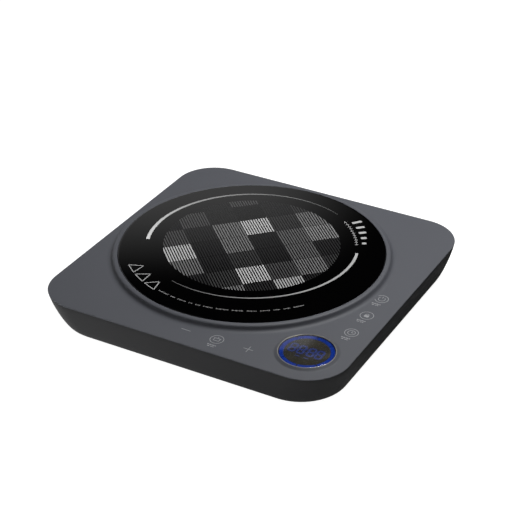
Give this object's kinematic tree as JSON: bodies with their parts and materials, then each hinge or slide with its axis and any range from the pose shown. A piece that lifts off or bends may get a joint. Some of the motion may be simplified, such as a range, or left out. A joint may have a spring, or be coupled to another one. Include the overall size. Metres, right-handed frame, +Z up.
{
  "type": "electric induction cooktop",
  "caption": "Square portable induction cooktop with a round black glass plate on a low plinth, touch keys on two edges, a round corner display, and its coil, boards and fan inside.",
  "frame": {"origin": "centre of the square body on the table plane, under the feet", "axes": "+Z up out of the glass, +X to the right along the front edge, +Y to the back, where the cord inlet is"},
  "size_m": [0.29, 0.29, 0.0423],
  "materials": {
    "deck_plastic": "fine matt moulded slate grey",
    "housing_plastic": "matt moulded charcoal",
    "black_glass": "polished black glass ceramic",
    "silicone": "translucent silicone",
    "smoked_lens": "smoked gloss",
    "bezel_metal": "satin plated",
    "blue_light": "lit light guide",
    "digit_plastic": "matt",
    "circuit_board": "solder mask",
    "screw_steel": "zinc plated",
    "spring_steel": "drawn wire",
    "ribbon_pvc": "satin",
    "bracket_plastic": "heat-resistant moulding",
    "copper": "enamelled litz",
    "ferrite": "sintered matt",
    "mica": "pressed mica sheet",
    "sensor_ceramic": "matt",
    "sink_aluminium": "extruded",
    "black_epoxy": "moulded package",
    "cutout_body": "matt",
    "blue_coat": "dipped coat",
    "red_coat": "dipped coat",
    "yellow_coat": "moulded box",
    "choke_core": "coated toroid with enamelled turns",
    "can_sleeve": "shrink sleeve",
    "transformer_tape": "wound tape over a ferrite core",
    "fuse_glass": "glass tube with plated caps",
    "chip_epoxy": "moulded package",
    "terminal_brass": "turned",
    "terminal_green": "moulded",
    "fan_plastic": "satin moulding",
    "lead_pvc": "extruded",
    "gland_rubber": "matt",
    "clamp_nylon": "natural nylon",
    "foot_rubber": "matt"
  },
  "bodies": {
    "body": {"top_cover": "deck_plastic", "bottom_housing": "housing_plastic", "glass_plate": "black_glass", "glass_seal": "silicone", "display_lens": "smoked_lens", "display_bezel": "bezel_metal", "light_guide": "blue_light", "digit_module": "digit_plastic", "control_board": "circuit_board", "control_board_screws": "screw_steel", "touch_springs": "spring_steel", "ribbon_cable": "ribbon_pvc", "coil_bracket": "bracket_plastic", "coil_winding": "copper", "ferrite_bars": "ferrite", "mica_sheet": "mica", "coil_leads": "copper", "coil_bracket_screws": "screw_steel", "sensor_spring": "spring_steel", "power_board": "circuit_board", "power_board_screws": "screw_steel", "heatsink": "sink_aluminium", "power_transistor": "black_epoxy", "bridge_rectifier": "black_epoxy", "thermal_cutout": "cutout_body", "dc_link_capacitor": "blue_coat", "resonance_capacitor": "red_coat", "filter_capacitor": "yellow_coat", "filter_choke": "choke_core", "dc_choke": "choke_core", "electrolytic_capacitors": "can_sleeve", "aux_transformer": "transformer_tape", "fuse": "fuse_glass", "varistor": "blue_coat", "controller_chips": "chip_epoxy", "coil_terminals": "terminal_brass", "mains_terminals": "terminal_green", "buzzer": "black_epoxy", "fan_frame": "fan_plastic", "fan_motor": "copper", "fan_screws": "screw_steel", "fan_lead": "lead_pvc", "cord_gland": "gland_rubber", "cord_clamp": "clamp_nylon", "cord_clamp_screws": "screw_steel", "rubber_feet": "foot_rubber", "housing_screws": "screw_steel"},
    "impeller": {"fan_impeller": "fan_plastic", "fan_shaft": "spring_steel"},
    "sensor": {"sensor_plunger": "sensor_ceramic"}
  },
  "joints": [
    {"name": "fan_spin", "type": "hinge", "parent": "body", "child": "impeller", "pos_m": [-0.074, 0.064, 0.012], "axis": [0, 0, 1], "continuous": true},
    {"name": "sensor_press", "type": "slide", "parent": "body", "child": "sensor", "axis": [0, 0, 1], "range_m": [-0.0015, 0], "stiffness_N_per_m": 600, "springref_m": 0.001, "deforming": ["sensor_spring"]}
  ]
}
